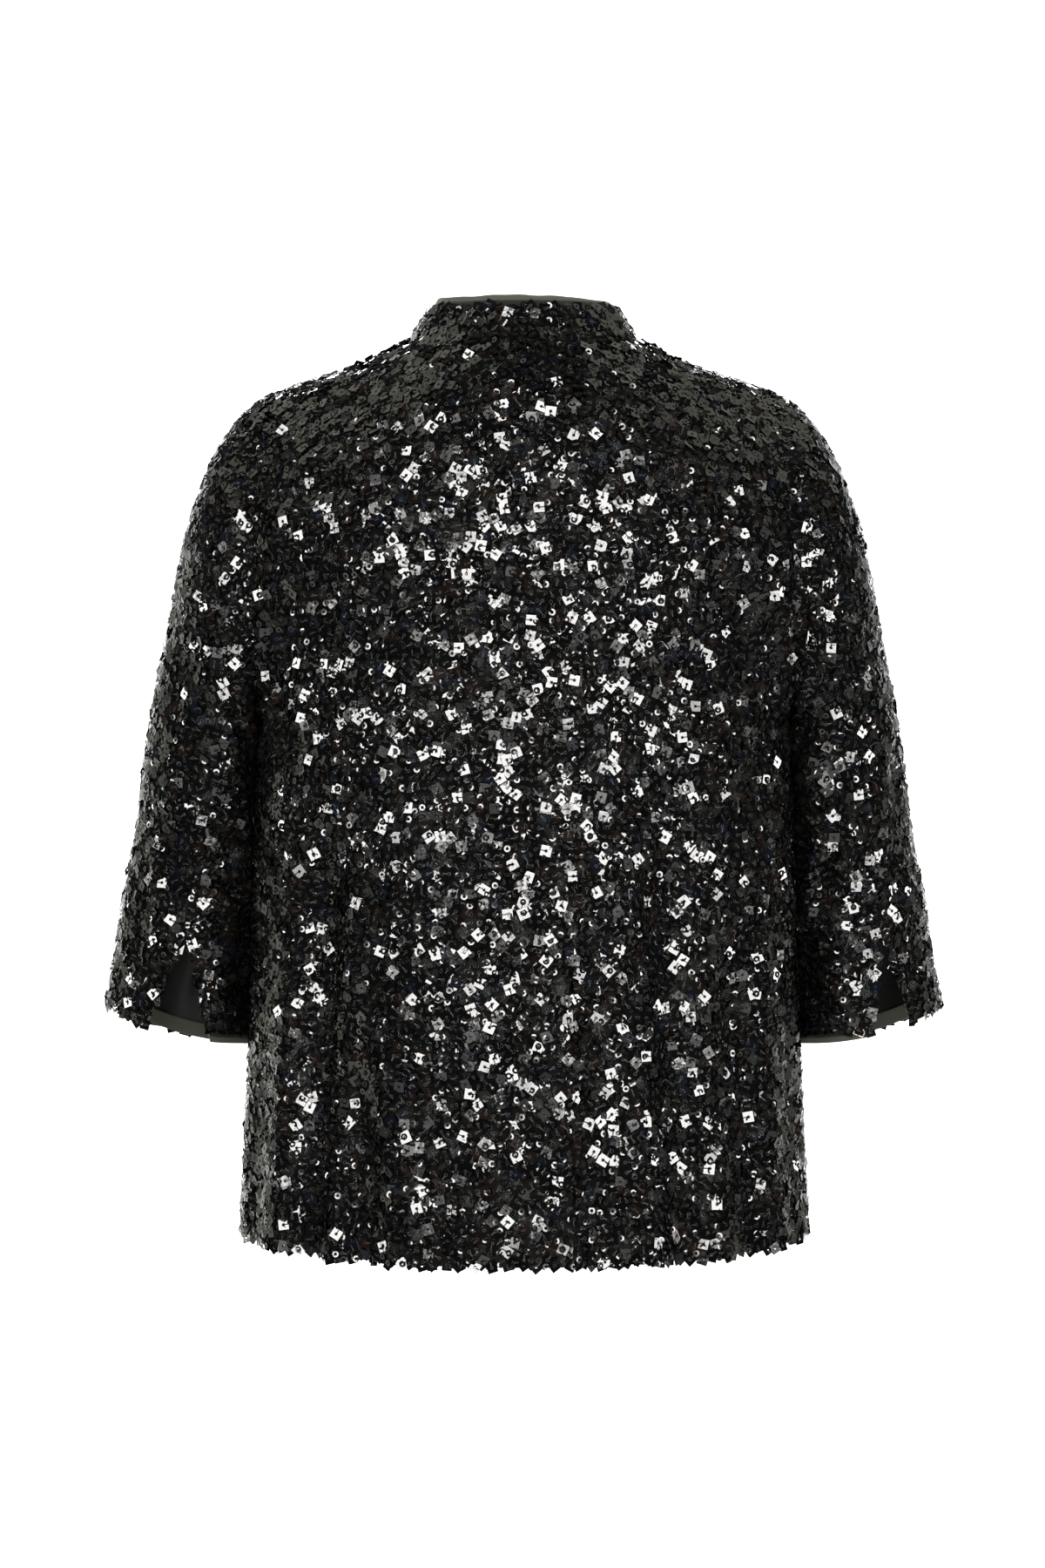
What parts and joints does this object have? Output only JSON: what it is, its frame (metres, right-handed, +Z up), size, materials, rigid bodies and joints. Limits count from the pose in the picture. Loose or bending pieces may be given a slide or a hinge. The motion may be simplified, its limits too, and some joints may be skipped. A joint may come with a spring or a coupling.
{
  "type": "shirt jacket",
  "caption": "Boxy hip-length jacket covered in overlapping sequins, with a stand collar, back yoke and wide three-quarter sleeves slit at the cuff, hollow as worn.",
  "frame": {"origin": "midway between the two points where the shoulders meet the neck, where the wearer's shoulders hold the jacket", "axes": "+Z up along the wearer, +Y out of the back, +X to the wearer's left"},
  "size_m": [0.5666, 0.257, 0.6246],
  "materials": {
    "sequin_cloth": "black mesh sewn all over with glossy black sequins, square and round",
    "facing": "plain matte olive-grey cloth"
  },
  "bodies": {
    "root": {"back": "sequin_cloth", "back_yoke": "sequin_cloth", "front_left": "sequin_cloth", "front_right": "sequin_cloth", "sleeve_left": "sequin_cloth", "sleeve_right": "sequin_cloth", "collar": "sequin_cloth", "collar_facing": "facing", "cuff_facing_left": "facing", "cuff_facing_right": "facing"}
  },
  "joints": []
}
